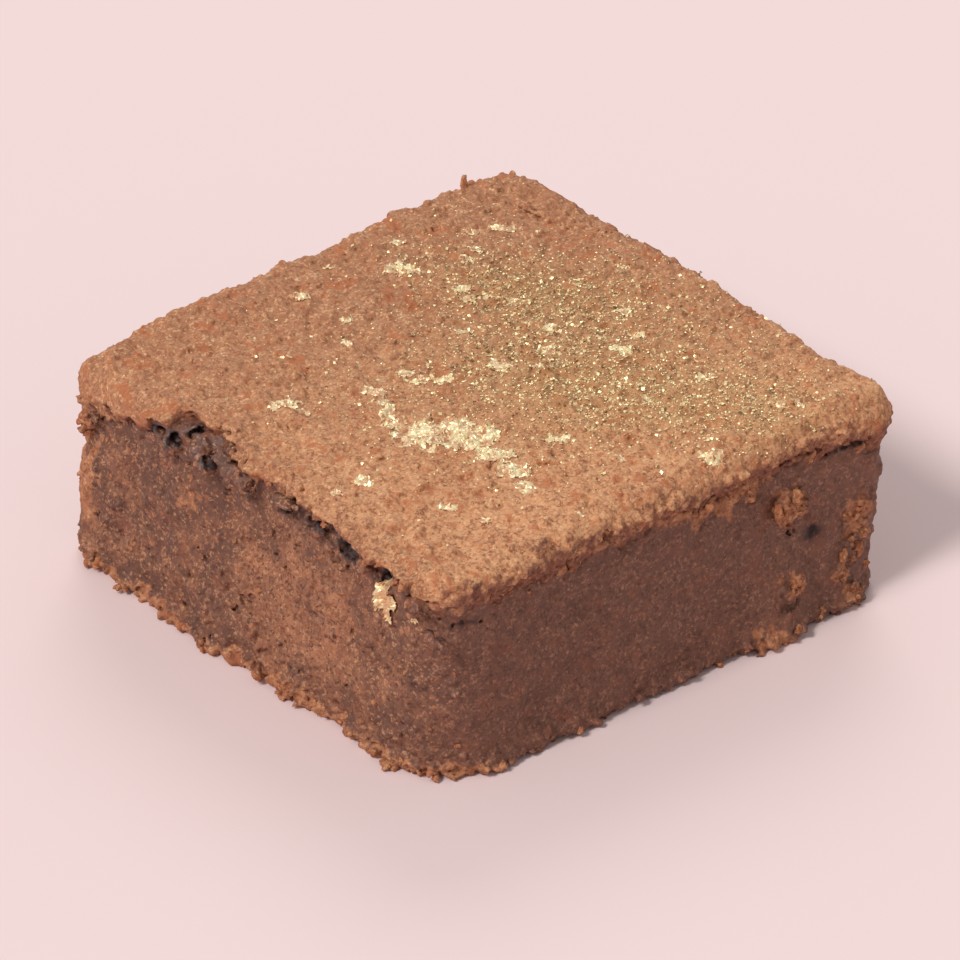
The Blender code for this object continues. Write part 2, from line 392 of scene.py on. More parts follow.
grain = bpy.data.node_groups.new("baked grain", "ShaderNodeTree")
for name, kind, value in (
    ("Colour", "NodeSocketColor", (0.5, 0.3, 0.2, 1)),
    ("Dark grains", "NodeSocketColor", (0.3, 0.1, 0.05, 1)),
    ("Pale grains", "NodeSocketColor", (0.7, 0.5, 0.3, 1)),
    ("Patches", "NodeSocketColor", (0.4, 0.2, 0.1, 1)),
    ("Grain size", "NodeSocketFloat", 0.45),
    ("Patch size", "NodeSocketFloat", 2.0),
    ("Patch share", "NodeSocketFloat", 0.5),
):
    socket = grain.interface.new_socket(name, in_out="INPUT", socket_type=kind)
    socket.default_value = value
grain.interface.new_socket("Colour", in_out="OUTPUT", socket_type="NodeSocketColor")
grain.interface.new_socket("Height", in_out="OUTPUT", socket_type="NodeSocketFloat")


def add(tree, kind, links=(), **settings):
    """A node with its settings, its sockets linked or set by name or number."""
    made = tree.nodes.new(kind)
    for setting, value in settings.items():
        setattr(made, setting, value)
    for key, value in dict(links).items():
        if isinstance(value, bpy.types.NodeSocket):
            tree.links.new(value, made.inputs[key])
        else:
            made.inputs[key].default_value = value
    return made


def mixed(tree, share, first_colour, second_colour):
    node = add(tree, "ShaderNodeMix", data_type="RGBA")
    for number, value in ((0, share), (6, first_colour), (7, second_colour)):
        if isinstance(value, bpy.types.NodeSocket):
            tree.links.new(value, node.inputs[number])
        else:
            node.inputs[number].default_value = value
    return node.outputs[2]


def ramp(tree, value, start, end):
    """0 below the start and 1 above the end, with a smooth step between."""
    node = add(tree, "ShaderNodeMapRange", {0: value, 1: start, 2: end}, interpolation_type="SMOOTHSTEP")
    return node.outputs[0]


def maths(tree, operation, a, b, c=0.0):
    return add(tree, "ShaderNodeMath", {0: a, 1: b, 2: c}, operation=operation).outputs[0]


def build_grain(tree):
    given = tree.nodes.new("NodeGroupInput").outputs
    out = tree.nodes.new("NodeGroupOutput")
    place = tree.nodes.new("ShaderNodeTexCoord").outputs["Object"]
    scale = maths(tree, "DIVIDE", 1 / MM, given["Grain size"])
    finer = maths(tree, "MULTIPLY", scale, 1.9)
    patch_scale = maths(tree, "DIVIDE", 1 / MM, given["Patch size"])
    big = add(tree, "ShaderNodeTexVoronoi", {"Vector": place, "Scale": scale})
    tiny = add(tree, "ShaderNodeTexVoronoi", {"Vector": place, "Scale": finer})
    patch = add(tree, "ShaderNodeTexNoise", {"Vector": place, "Scale": patch_scale, "Detail": 3.0, "Roughness": 0.65})
    cloud = add(tree, "ShaderNodeTexNoise", {"Vector": place, "Scale": maths(tree, "MULTIPLY", patch_scale, 0.35)})
    big_value = add(tree, "ShaderNodeSeparateColor", {0: big.outputs["Color"]}).outputs[0]
    tiny_value = add(tree, "ShaderNodeSeparateColor", {0: tiny.outputs["Color"]}).outputs[1]
    shade = maths(tree, "MULTIPLY_ADD", big_value, 0.45, maths(tree, "MULTIPLY", tiny_value, 0.35))
    shade = maths(tree, "MULTIPLY_ADD", patch.outputs[0], 0.7, shade)
    colour = mixed(tree, ramp(tree, shade, 0.75, 0.35), given["Colour"], given["Dark grains"])
    colour = mixed(tree, ramp(tree, shade, 0.8, 1.2), colour, given["Pale grains"])
    redder = maths(tree, "ADD", patch.outputs[0], maths(tree, "MULTIPLY", cloud.outputs[0], 0.5))
    redder = maths(tree, "MULTIPLY", ramp(tree, redder, 0.78, 0.93), given["Patch share"])
    tree.links.new(mixed(tree, redder, colour, given["Patches"]), out.inputs["Colour"])
    relief = maths(tree, "MULTIPLY_ADD", big.outputs["Distance"], -0.7, patch.outputs[0])
    relief = maths(tree, "MULTIPLY_ADD", tiny.outputs["Distance"], -0.35, relief)
    tree.links.new(relief, out.inputs["Height"])


build_grain(grain)


def srgb(red, green, blue):
    """A colour as it is seen on a screen, turned into the linear one that a shader takes."""
    shares = (value / 255 for value in (red, green, blue))
    return (*(s / 12.92 if s <= 0.04045 else ((s + 0.055) / 1.055) ** 2.4 for s in shares), 1)


def new_material(name, roughness):
    made = bpy.data.materials.new(name)
    made.use_nodes = True
    shader = made.node_tree.nodes["Principled BSDF"]
    shader.inputs["Roughness"].default_value = roughness
    return made, made.node_tree, shader


def let_light_in(shader):
    """The soft glow of light that has passed through a millimetre of dough."""
    shader.inputs["Subsurface Weight"].default_value = 0.1
    shader.inputs["Subsurface Scale"].default_value = 1.2 * MM
    shader.inputs["Subsurface Radius"].default_value = (1.0, 0.4, 0.25)


def value_of(tree, name):
    return add(tree, "ShaderNodeAttribute", attribute_name=name).outputs["Fac"]


def use_grain(tree, **given):
    made = add(tree, "ShaderNodeGroup", node_tree=grain)
    for name, value in given.items():
        socket = made.inputs[name.replace("_", " ")]
        if isinstance(value, bpy.types.NodeSocket):
            tree.links.new(value, socket)
        else:
            socket.default_value = value
    return made


def baked_colour(tree, duller):
    """The dry crust's colour, from the orange tan of the front to the duller tan of the left and back."""
    return use_grain(
        tree, Colour=mixed(tree, duller, srgb(212, 153, 108), srgb(179, 124, 88)),
        Dark_grains=srgb(156, 94, 62), Pale_grains=srgb(232, 182, 136), Patches=srgb(176, 98, 58),
        Grain_size=0.36, Patch_size=1.9, Patch_share=0.75,
    )


crumb_finish, tree, shader = new_material("cut crumb", 0.62)
let_light_in(shader)
place = tree.nodes.new("ShaderNodeTexCoord").outputs["Object"]
cloud = add(tree, "ShaderNodeTexNoise", {"Vector": place, "Scale": 1 / (4.2 * MM), "Detail": 3.0, "Roughness": 0.6})
tone = maths(tree, "MULTIPLY_ADD", cloud.outputs[0], 2.4, maths(tree, "ADD", value_of(tree, "torn"), -1.2))
plain = mixed(tree, ramp(tree, tone, -0.5, 1.5), srgb(98, 62, 48), srgb(168, 109, 76))
plain = mixed(tree, maths(tree, "MULTIPLY", value_of(tree, "smear"), 0.8), plain, srgb(106, 69, 57))
# Painted shade on the right-hand face: a darker crumb colour and duller pale grains.
plain = mixed(tree, maths(tree, "MULTIPLY", value_of(tree, "moist_and_right_face_shade"), 0.85), plain, srgb(117, 74, 56))
pale = mixed(tree, value_of(tree, "moist_and_right_face_shade"), srgb(192, 138, 100), srgb(162, 112, 88))
moist_and_right_face_shade = use_grain(
    tree, Colour=plain, Dark_grains=srgb(94, 55, 41), Pale_grains=pale, Patches=srgb(124, 68, 46),
    Grain_size=0.38, Patch_size=1.8, Patch_share=0.55,
)
dry = use_grain(
    tree, Colour=srgb(172, 114, 80), Dark_grains=srgb(126, 72, 48), Pale_grains=srgb(206, 150, 110),
    Patches=srgb(150, 82, 50), Grain_size=0.5, Patch_size=1.6, Patch_share=0.6,
)
share = ramp(tree, maths(tree, "MULTIPLY_ADD", moist_and_right_face_shade.outputs["Height"], 0.5, value_of(tree, "baked")), 0.3, 0.75)
fleck = add(tree, "ShaderNodeTexVoronoi", {"Vector": place, "Scale": 1 / (1.5 * MM)})
chosen = add(tree, "ShaderNodeSeparateColor", {0: fleck.outputs["Color"]}).outputs[0]
fleck = maths(tree, "MULTIPLY", ramp(tree, chosen, 0.66, 0.74), ramp(tree, fleck.outputs["Distance"], 0.36, 0.2))
# Fewer pale flecks on the right-hand face, as painted shade.
fleck = maths(tree, "MULTIPLY", fleck, maths(tree, "MULTIPLY_ADD", value_of(tree, "moist_and_right_face_shade"), -0.7, 0.8))
share = maths(tree, "MAXIMUM", share, fleck)
colour = mixed(tree, share, moist_and_right_face_shade.outputs["Colour"], dry.outputs["Colour"])
# Painted shade: near black in the hollows and the deep recesses.
colour = mixed(tree, maths(tree, "MULTIPLY", value_of(tree, "hollow"), 0.92), colour, srgb(34, 22, 26))
tree.links.new(colour, shader.inputs["Base Color"])
gloss = maths(tree, "MULTIPLY_ADD", value_of(tree, "smear"), -0.14, 0.64)
tree.links.new(maths(tree, "MULTIPLY_ADD", share, 0.2, gloss), shader.inputs["Roughness"])
bump = add(tree, "ShaderNodeBump", {"Height": moist_and_right_face_shade.outputs["Height"], "Strength": 0.45, "Distance": 0.12 * MM})
tree.links.new(bump.outputs[0], shader.inputs["Normal"])
crumb_piece.data.materials.append(crumb_finish)
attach(crumb_piece, "root")
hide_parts("brownie")


# ---------------------------------------------------------------- the crust
# The dry baked skin of the brownie, a little over a millimetre thick. It hangs ragged over the left
# face near its corners, is broken back between them, and thins out into the crumb on the other sides.

crust_thickness = 1.3
ledge_thickness = 0.75  # where only the top of it is left, over the broken stretch
ledge_reach = 2.2
soft_side = 1 - smoothstep(-Y, 24, 30) * (1 - smoothstep(X, 30.5, 32.5))
feather = soft_side * (1 - smoothstep(Z - rim, 0, 2.2))
lip = smoothstep(-Y, 27, 31) * smoothstep(-X, 15, 22) * (1 - smoothstep(Z, 23.5, 25.5))
swelling = 0.12 + 0.12 * middling + 0.09 * clods + 0.08 * grains - 0.45 * feather + 0.3 * lip
skin = dough - swelling

# The shelf that the broken stretch ends in: the top carried out level to where it broke off
top_level = height - 1.05 - 0.05 * np.maximum(-Y - 27, 0) ** 1.6 + 0.16 * middling + 0.08 * clods + 0.06 * grains
shelf = np.maximum(dough - ledge_reach * smoothstep(-Y, 24, 28), Z - top_level)
shelf = np.maximum(shelf, top_level - ledge_thickness - 0.1 * np.clip(middling, -2, 2) - Z)
shelf = np.maximum(shelf, np.maximum(np.abs(X - 5.4) - 21.2, -Y - 35))
thickness = crust_thickness + 0.15 * np.clip(middling, -2, 2)
crust = np.minimum(np.maximum(skin, -(dough + thickness + 0.3 * lip)), shelf)
crust = np.maximum(crust, (rim + 0.25 * middling) - Z)


def broken_edge(x):
    """How far out the top reaches along the left-hand side."""
    return np.interp(
        x,
        (-16.8, -15.8, -14.6, -8.0, -5.5, -2.0, 1.3, 6.3, 13.4, 16.5, 19.5, 24.4, 27.0, 28.6),
        (-37, -32.6, -28.6, -28.8, -29.9, -31.3, -29.8, -30.4, -30.9, -31.2, -31.9, -32.1, -33.2, -37),
    )


crust = np.maximum(crust, broken_edge(X) + 0.35 * middling + 0.16 * small + 0.05 * fine - Y)

# Crumbs that still hold to the broken edge and to the soft rim of the right-hand side
draw = np.random.default_rng(22)
for _ in range(110):
    x = draw.uniform(-15, 26.4)
    radius = draw.uniform(0.3, 0.75)
    place = (x, broken_edge(x) + draw.uniform(0.1, 0.8), draw.uniform(24.0, 25.0))
    heap(crust, place, (radius, radius, radius * 0.8), 0, 0.2)
for _ in range(160):
    y, z, radius = draw.uniform(-28, 29), draw.uniform(21.2, 24.4), draw.uniform(0.3, 0.7)
    heap(crust, on_right(crust, y, z) - (0.15, 0, 0), (radius * 0.7, radius, radius * 0.7), 0, 0.2)

# A crack down the left corner, notches in the broken edge, the bite at the front corner, whose shade is painted dark,
# and the folds of the soft sides, then the lumps that stand up at the left and back edges
for place, radii, turn in (
    ((-25.4, -33.2, 23.4), (0.4, 1.2, 1.8), 20), ((-24.9, -33.0, 21.9), (1.2, 1.6, 0.7), 0),
    ((32.2, -29.8, 20.2), (1.8, 3.6, 0.7), 0), ((-14.0, -32.0, 23.8), (1.0, 1.4, 1.0), 0),
    ((14.6, -31.2, 23.2), (1.5, 1.8, 0.9), 0), ((21.4, -31.8, 23.4), (1.2, 1.6, 0.8), 0),
    ((-12.7, 32.2, height - 1.6), (1.3, 1.2, 1.4), 0),
    ((31.6, -8.6, 23.0), (0.5, 0.9, 1.6), 0), ((31.8, -14.0, 22.4), (0.5, 1.4, 0.4), 0),
    ((32.8, 18.4, 22.0), (1.6, 3.6, 0.45), 0), ((32.8, 25.8, 20.9), (1.6, 3.4, 0.45), 0),
):
    dig(crust, place, radii, turn)
for place, radii in (
    ((-31.0, 14.9, height - 1.6), (2.0, 1.8, 1.2)), ((-30.8, 23.8, height - 0.6), (0.35, 0.5, 1.7)),
    ((16.6, 30.6, height - 1.4), (3.0, 1.2, 0.9)),
):
    heap(crust, place, radii, wobble=0.08)


def top_of(field):
    """The height of a field's upper surface at each x and y."""
    above = np.argmax(field[:, :, ::-1] < 0, axis=2)
    k = np.clip(shape[2] - 1 - above, 0, shape[2] - 2)
    inside = np.take_along_axis(field, k[:, :, None], 2)[:, :, 0]
    outside = np.take_along_axis(field, k[:, :, None] + 1, 2)[:, :, 0]
    return np.where(inside < 0, zs[k] + voxel * inside / np.minimum(inside - outside, -1e-4), 0)


tops = top_of(crust)


def on_top(x, y):
    return float(tops[int(round(x / voxel)) - first[0], int(round(y / voxel)) - first[1]])


# Ridges pushed up on the top, each with the crack beside it, then small pits and sandy grains
for x, y, length, turn in (
    (18.6, -16.2, 2.6, 50), (7.4, -28.0, 1.1, 50), (-18.6, 27.0, 5.6, 18), (19.4, -6.4, 1.2, 40),
    (-4.6, -22.6, 1.2, 50), (-12.0, 2.6, 1.6, 30), (14.0, 5.0, 1.4, 45), (-24.0, -20.0, 1.8, 50),
    (2.4, -23.0, 1.3, 55), (-26.0, 16.0, 1.6, 50),
):
    c, s = math.cos(math.radians(turn)), math.sin(math.radians(turn))
    z = on_top(x, y)
    heap(crust, (x - 0.4 * s, y + 0.4 * c, z - 0.1), (length, 0.5, 0.42), turn, 0.12)
    dig(crust, (x + 0.35 * s, y - 0.35 * c, z), (length * 0.85, 0.3, 0.5), turn, 0.1)
draw = np.random.default_rng(21)
for number in range(2600):
    x, y = draw.uniform(-31.5, 31.5, 2)
    radius = draw.uniform(0.18, 0.42)
    if on_top(x, y) < height - 4:
        continue
    if number % 9 == 0:
        dig(crust, (x, y, on_top(x, y) + 0.1), (radius * 1.8, radius, radius * 0.8), draw.uniform(0, 180), 0.1)
    else:
        heap(crust, (x, y, on_top(x, y) - 0.05), (radius, radius, radius), 0, 0.1)

crust_piece = as_mesh("crust", crust, most_faces)
at = points_of(crust_piece.data)
rim_here = read_field(rim, at)
soft = smoothstep(at[:, 0], 29, 31.5)
raw_edge = smoothstep(broken_edge(at[:, 0]) - at[:, 1], -0.6, 0.4) * smoothstep(-at[:, 2], -height + 1.3, -height + 2.2)
# Painted shade: the underside of the crust, where it lies inside the dough's outline, and the crust in the hollows are
# darkened.
under = smoothstep(-read_field(dough, at), 0.45, 1.0)
fading = smoothstep(rim_here - at[:, 2] + 0.4 * read_field(small, at), -3.8, -0.2) * (0.2 + 0.7 * soft)
paint(crust_piece.data, "edge", np.maximum(fading, raw_edge * 0.4))
paint(crust_piece.data, "shade_under_crust", np.maximum(under, shade_in_hollows(at) * smoothstep(-at[:, 2], -25.0, -24.5)))
paint(crust_piece.data, "back", smoothstep(0.4 * at[:, 1] - at[:, 0] + 3 * read_field(coarse, at), -38, 26))

crust_finish, tree, shader = new_material("baked crust", 0.85)
let_light_in(shader)
dry = baked_colour(tree, value_of(tree, "back"))
rough_edge = use_grain(
    tree, Colour=srgb(134, 82, 60), Dark_grains=srgb(96, 54, 42), Pale_grains=srgb(176, 118, 84),
    Patches=srgb(120, 62, 42), Grain_size=0.45, Patch_size=1.4, Patch_share=0.6,
)
share = ramp(tree, maths(tree, "MULTIPLY_ADD", dry.outputs["Height"], -0.6, value_of(tree, "edge")), -0.1, 0.7)
colour = mixed(tree, share, dry.outputs["Colour"], rough_edge.outputs["Colour"])
# Painted shade under the crust and in the hollows, a dark red-brown.
colour = mixed(tree, maths(tree, "MULTIPLY", value_of(tree, "shade_under_crust"), 0.8), colour, srgb(104, 50, 34))
colour = mixed(tree, maths(tree, "MULTIPLY", value_of(tree, "dusted"), 0.4), colour, srgb(182, 142, 88))
tree.links.new(colour, shader.inputs["Base Color"])
bump = add(tree, "ShaderNodeBump", {"Height": dry.outputs["Height"], "Strength": 0.42, "Distance": 0.12 * MM})
tree.links.new(bump.outputs[0], shader.inputs["Normal"])
crust_piece.data.materials.append(crust_finish)
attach(crust_piece, "root")


# ---------------------------------------------------------------- the loose crumbs
# Dry baked crumbs that the knife broke off. They lie along the broken edge of the crust and round the
# foot, and hold in clusters to the far end of the right-hand face.

outside = np.minimum(crumb, crust)
draw = np.random.default_rng(31)
crumbs = bmesh.new()


def lay_crumb(place, radius):
    """One lumpy crumb about this big, its lumps drawn from its place."""
    turn = Matrix.Rotation(draw.uniform(0, math.tau), 3, Vector(draw.normal(size=3)))
    squash = Vector(draw.uniform(0.55, 1.3, 3))
    made = bmesh.ops.create_icosphere(crumbs, subdivisions=3 if radius > 0.45 else 2, radius=1.0)
    middle = Vector(place)
    for vertex in made["verts"]:
        bulge = 1 + 0.6 * noise.noise(vertex.co * 1.3 + middle) + 0.3 * noise.noise(vertex.co * 3 - middle)
        vertex.co = (turn @ (vertex.co * squash * bulge) * radius + middle) * MM
        vertex.co.z = max(vertex.co.z, 0.02 * MM)


for count, side, across, levels, radii in (
    (22, "left", (-30.5, 30.5), (0.3, 1.4), (0.25, 0.6)),
    (8, "right", (6, 30), (0.3, 1.6), (0.3, 0.6)),
    (8, "right", (-30, 6), (0.3, 1.0), (0.2, 0.5)),
    (12, "right", (15.6, 20.0), (14.6, 17.8), (0.3, 0.8)),
    (9, "right", (25.5, 30), (3.0, 13.0), (0.3, 0.7)),
    (4, "right", (16.4, 19.2), (5.6, 7.2), (0.3, 0.6)),
    (16, "right", (-28, 29), (20.4, 23.2), (0.2, 0.5)),
    (40, "left", (-30.5, 30.5), (2.0, 19.0), (0.15, 0.35)),
    (5, "left", (-30.5, -28), (15.0, 19.5), (0.3, 0.6)),
):
    for _ in range(count):
        a, z = draw.uniform(*across), draw.uniform(*levels)
        place = on_left(outside, a, z) if side == "left" else on_right(outside, a, z)
        lay_crumb(place, draw.uniform(*radii))
for x in (-10.8, -9.2, -5.8, -1.4, 1.0, 3.6, 7.8, 10.6, 19.2, 24.6, 25.8, 26.4):
    lay_crumb((x, broken_edge(x) + draw.uniform(-0.5, 0.2), draw.uniform(23.8, 24.6)), draw.uniform(0.25, 0.55))

crumb_mesh = bpy.data.meshes.new("loose_crumbs")
crumbs.to_mesh(crumb_mesh)
crumbs.free()
crumb_mesh.shade_smooth()
loose = bpy.data.objects.new("loose_crumbs", crumb_mesh)
bpy.context.scene.collection.objects.link(loose)
loose_finish, tree, shader = new_material("loose crumbs", 0.85)
let_light_in(shader)
dry = use_grain(
    tree, Colour=srgb(176, 114, 76), Dark_grains=srgb(134, 76, 50), Pale_grains=srgb(212, 156, 112),
    Patches=srgb(158, 86, 52), Grain_size=0.4, Patch_size=1.6, Patch_share=0.7,
)
tree.links.new(dry.outputs["Colour"], shader.inputs["Base Color"])
bump = add(tree, "ShaderNodeBump", {"Height": dry.outputs["Height"], "Strength": 0.6, "Distance": 0.14 * MM})
tree.links.new(bump.outputs[0], shader.inputs["Normal"])
crumb_mesh.materials.append(loose_finish)
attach(loose, "root")


# ---------------------------------------------------------------- the gold leaf
# Torn scraps of edible gold leaf, crumpled where they fell on the crust, and three on the left face.
# Leaf is far thinner than a hair; each scrap is a closed sheet a few hundredths thick.

tops = top_of(crust)
leaf = bmesh.new()
draw = np.random.default_rng(41)
step = 0.22
leaf_thickness = 0.04


def lay_leaf(x, y, length, width, turn, fill=1.0, lift=0.02):
    """A crumpled scrap on the top, its outline and holes torn at random."""
    seed = Vector(draw.uniform(0, 99, 3))
    c, s = math.cos(math.radians(turn)), math.sin(math.radians(turn))
    rows, columns = int(length / step) + 2, int(width / step) + 2
    grid = {}
    for i in range(rows + 1):
        for j in range(columns + 1):
            a, b = (i - rows / 2) * step, (j - columns / 2) * step
            torn_by = noise.noise(Vector((a, b, 0)) * 0.9 + seed) + 0.6 * noise.noise(Vector((a, b, 5)) * 2.2 + seed)
            if (a / length * 2) ** 2 + (b / width * 2) ** 2 + 0.9 * torn_by < fill:
                a, b = a + draw.uniform(-0.09, 0.09), b + draw.uniform(-0.09, 0.09)
                px, py = x + c * a - s * b, y + s * a + c * b
                crumple = 0.16 * noise.noise(Vector((px, py, 0)) * 1.3 + seed) + draw.uniform(-0.07, 0.07)
                grid[i, j] = leaf.verts.new((px, py, on_top(px, py) + lift + 0.06 + crumple))
    for i, j in grid:
        corners = [grid.get(key) for key in ((i, j), (i + 1, j), (i + 1, j + 1), (i, j + 1))]
        if all(corners):
            if (i + j) % 2:
                leaf.faces.new(corners[:3])
                leaf.faces.new((corners[0], corners[2], corners[3]))
            else:
                leaf.faces.new(corners[1:])
                leaf.faces.new((corners[0], corners[1], corners[3]))


for x, y, length, width, turn in (
    (7.4, -12.2, 10.4, 7.4, 50), (11.0, -9.4, 5.0, 5.0, 40), (2.6, -14.4, 4.4, 2.8, -20), (-0.6, -12.8, 4.4, 2.4, -30),
    (-4.2, -11.4, 3.8, 2.6, 10), (-1.8, -5.4, 5.6, 2.2, 45), (-4.6, -6.6, 2.6, 1.6, 45), (14.6, -10.0, 4.6, 3.4, 40),
    (18.2, -10.8, 4.4, 3.4, 60), (21.6, -11.6, 3.0, 2.2, 20), (16.6, -2.8, 3.2, 2.6, 45), (9.6, -24.4, 2.4, 1.8, 20),
    (9.4, -27.8, 1.6, 1.2, 0), (18.8, -20.2, 2.8, 1.2, 50), (23.1, -18.5, 1.4, 1.0, 0), (-21.8, 7.2, 4.4, 2.8, 45),
    (-7.9, -21.0, 3.6, 2.4, 60), (-5.6, -20.2, 2.6, 1.6, 20), (-21.2, 21.2, 3.0, 2.0, 45), (-22.8, 18.3, 2.0, 1.6, 20),
    (-19.6, 16.1, 2.0, 1.4, 0), (-18.7, 13.8, 2.2, 1.6, 30), (-14.1, 9.6, 2.2, 1.6, 60), (-11.8, 8.7, 2.0, 1.4, 0),
    (-7.0, 3.6, 2.2, 1.6, 40), (-0.7, 11.1, 2.2, 1.6, 30), (7.6, 14.2, 3.0, 2.0, 50), (17.4, 18.0, 2.6, 1.8, 40),
    (-11.2, 10.8, 2.0, 1.4, 0), (-9.2, 12.5, 2.0, 1.4, 60), (1.4, 19.8, 2.4, 1.6, 20), (-5.8, 25.8, 1.6, 1.2, 0),
    (6.2, 17.9, 2.8, 1.8, 30), (16.8, 9.9, 2.0, 1.4, 0), (27.0, 20.4, 1.8, 1.2, 0), (27.9, 22.2, 1.8, 1.2, 20),
    (24.0, -0.3, 1.6, 1.2, 0), (30.0, 7.8, 3.2, 2.2, 60), (1.2, 2.0, 3.4, 2.4, 45), (2.8, 7.8, 3.0, 2.0, 30),
    (4.6, 4.6, 2.2, 1.6, 0), (-26.6, 10.6, 2.0, 1.4, 40), (-15.4, -14.6, 1.6, 1.2, 10), (-17.4, -4.6, 1.8, 1.2, 50),
    (-13.6, -7.4, 1.8, 1.2, 20), (-24.4, -5.2, 2.2, 1.4, 70), (-27.6, 1.4, 2.0, 1.4, 30), (29.6, -10.8, 1.2, 0.9, 0),
):
    lay_leaf(x, y, length, width, turn)


def lay_side_leaf(x, z, size, slices):
    """A scrap pressed against the left-hand face."""
    seed = Vector(draw.uniform(0, 99, 3))
    grid = {}
    for i in range(slices + 1):
        for j in range(slices + 1):
            a, b = (i / slices - 0.5) * size, (j / slices - 0.5) * size * 1.15
            torn_by = noise.noise(Vector((a, b, 0)) * 0.9 + seed) + 0.6 * noise.noise(Vector((a, b, 5)) * 2.2 + seed)
            if (a * a + b * b) * 4 / size**2 + 0.9 * torn_by < 0.95:
                place = on_left(outside, x + a + draw.uniform(-0.08, 0.08), z + b + draw.uniform(-0.08, 0.08))
                place[1] -= 0.42 + 0.16 * noise.noise(Vector((a, b, 3)) * 1.6 + seed) + draw.uniform(-0.11, 0.11)
                grid[i, j] = leaf.verts.new(place)
    for i, j in grid:
        corners = [grid.get(key) for key in ((i, j), (i + 1, j), (i + 1, j + 1), (i, j + 1))]
        if all(corners):
            leaf.faces.new(corners[:3])
            leaf.faces.new((corners[0], corners[2], corners[3]))


lay_side_leaf(21.1, 19.3, 4.6, 21)
lay_side_leaf(26.8, 19.8, 1.5, 7)
lay_side_leaf(-16.2, 20.4, 1.0, 4)
bmesh.ops.delete(leaf, geom=[vertex for vertex in leaf.verts if not vertex.link_faces], context="VERTS")
bmesh.ops.solidify(leaf, geom=leaf.faces[:], thickness=leaf_thickness)
bmesh.ops.recalc_face_normals(leaf, faces=leaf.faces[:])
leaf.transform(Matrix.Scale(MM, 4))
leaf_mesh = bpy.data.meshes.new("gold_leaf")
leaf.to_mesh(leaf_mesh)
leaf.free()
gold_leaf = bpy.data.objects.new("gold_leaf", leaf_mesh)
bpy.context.scene.collection.objects.link(gold_leaf)
leaf_finish, tree, shader = new_material("gold leaf", 0.36)
place = tree.nodes.new("ShaderNodeTexCoord").outputs["Object"]
fold = add(tree, "ShaderNodeTexVoronoi", {"Vector": place, "Scale": 1 / (0.45 * MM)})
worn = add(tree, "ShaderNodeTexNoise", {"Vector": place, "Scale": 1 / (2.2 * MM), "Detail": 2.0})
fold = add(tree, "ShaderNodeSeparateColor", {0: fold.outputs["Color"]}).outputs[0]
thin_here = ramp(tree, maths(tree, "MULTIPLY_ADD", fold, 0.3, worn.outputs[0]), 0.54, 0.78)
colour = mixed(tree, thin_here, srgb(252, 232, 184), srgb(222, 178, 138))
tree.links.new(colour, shader.inputs["Base Color"])
shader.inputs["Metallic"].default_value = 0.45
leaf_mesh.materials.append(leaf_finish)
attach(gold_leaf, "root")


# ---------------------------------------------------------------- the gold dust
# Edible gold dust shaken over the top: thousands of tiny flat flakes, in a drift from the back of the
# left-hand side to the right-hand corner, some lying flat and some tipped up between the grains.

flake_thickness = 0.03
biggest_share = 0.14  # of the flakes, which are twice as wide as the rest
draw = np.random.default_rng(51)
drifts = (
    # middle x and y, spread along and across, direction, flakes
    (4.0, 10.0, 10.0, 7.0, 30, 3400), (-8.0, 15.0, 7.0, 4.0, 30, 1700), (20.0, 13.0, 8.0, 5.0, 40, 2300),
    (8.0, 2.0, 8.0, 5.0, 10, 1300), (-18.0, 12.0, 7.0, 4.0, 30, 500), (0.0, 24.0, 12.0, 4.0, 10, 800),
    (12.0, -8.0, 9.0, 6.0, 30, 700), (-4.0, -10.0, 10.0, 8.0, 30, 300), (27.0, 20.0, 4.0, 5.0, 60, 500),
    (0.0, 0.0, 22.0, 22.0, 0, 460),
)
flakes = []
for x, y, along, across, turn, count in drifts:
    c, s = math.cos(math.radians(turn)), math.sin(math.radians(turn))
    a, b = draw.normal(0, along, count), draw.normal(0, across, count)
    places = np.stack((x + c * a - s * b, y + s * a + c * b), axis=1)
    flakes.append([place for place in places if np.max(np.abs(place)) < 32 and on_top(*place) > height - 3])
flakes = np.concatenate(flakes)
count = len(flakes)
half = draw.uniform(0.09, 0.15, count) * (1 + 1.0 * (draw.random(count) < biggest_share))
tip = draw.normal(0, 0.55, (count, 2))
spin = draw.uniform(0, math.tau, count)
upward = np.stack((np.sin(tip[:, 0]), np.sin(tip[:, 1]), np.ones(count)), axis=1)
upward /= np.linalg.norm(upward, axis=1)[:, None]
sideways = np.stack((np.cos(spin), np.sin(spin), np.zeros(count)), axis=1)
sideways -= upward * np.sum(upward * sideways, axis=1)[:, None]
sideways /= np.linalg.norm(sideways, axis=1)[:, None]
forward = np.cross(upward, sideways)
middles = np.stack((flakes[:, 0], flakes[:, 1], [on_top(x, y) + 0.07 for x, y in flakes]), axis=1)
flat = half[:, None]
corners = np.stack((
    middles + sideways * flat, middles + forward * flat * 0.8,
    middles - sideways * flat, middles - forward * flat * 0.8,
    middles + upward * flake_thickness / 2, middles - upward * flake_thickness / 2,
), axis=1)
faces = np.array(((0, 1, 4), (1, 2, 4), (2, 3, 4), (3, 0, 4), (1, 0, 5), (2, 1, 5), (3, 2, 5), (0, 3, 5)))
all_faces = (faces[None] + 6 * np.arange(count)[:, None, None]).reshape(-1, 3)
dust_mesh = bpy.data.meshes.new("gold_dust")
dust_mesh.from_pydata((corners.reshape(-1, 3) * MM).tolist(), [], all_faces.tolist())
# Painted reflection: some flakes are coloured dark olive to stand for flakes tipped away that reflect the dark.
paint(dust_mesh, "painted_dark_reflection", np.repeat(draw.random(count) ** 2, 6))

